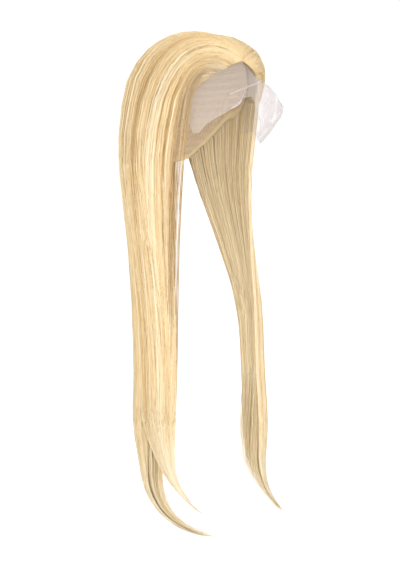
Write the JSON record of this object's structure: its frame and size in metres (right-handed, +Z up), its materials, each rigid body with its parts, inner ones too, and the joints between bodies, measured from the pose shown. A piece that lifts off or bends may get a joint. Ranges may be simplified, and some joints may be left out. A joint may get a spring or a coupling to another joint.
{
  "type": "lace front wig",
  "caption": "Long straight wig with a centre parting, a net cap, hanging locks with bent tips and an uncut lace margin over the forehead.",
  "frame": {"origin": "inside the crown, where the cap rests on the top of the head", "axes": "+Z up out of the crown, the wearer faces -Y, the wearer's right is -X"},
  "size_m": [0.2258, 0.2413, 0.7659],
  "materials": {
    "hair": "silky pale blonde fibre",
    "crown_hair": "silky pale blonde fibre, combed back",
    "cap_net": "matt stretch net",
    "lace": "sheer matt net"
  },
  "bodies": {
    "root": {"cap_crown": "cap_net", "lace_front": "lace", "crown_hair_right": "crown_hair", "crown_hair_left": "crown_hair", "right_lock_1": "hair", "right_lock_2": "hair", "right_lock_3": "hair", "right_lock_4": "hair", "right_lock_5": "hair", "right_lock_6": "hair", "back_lock_1": "hair", "back_lock_2": "hair", "back_lock_3": "hair", "back_lock_4": "hair", "left_lock_1": "hair", "left_lock_2": "hair", "left_lock_3": "hair", "left_lock_4": "hair", "left_lock_5": "hair", "left_lock_6": "hair"}
  },
  "joints": []
}
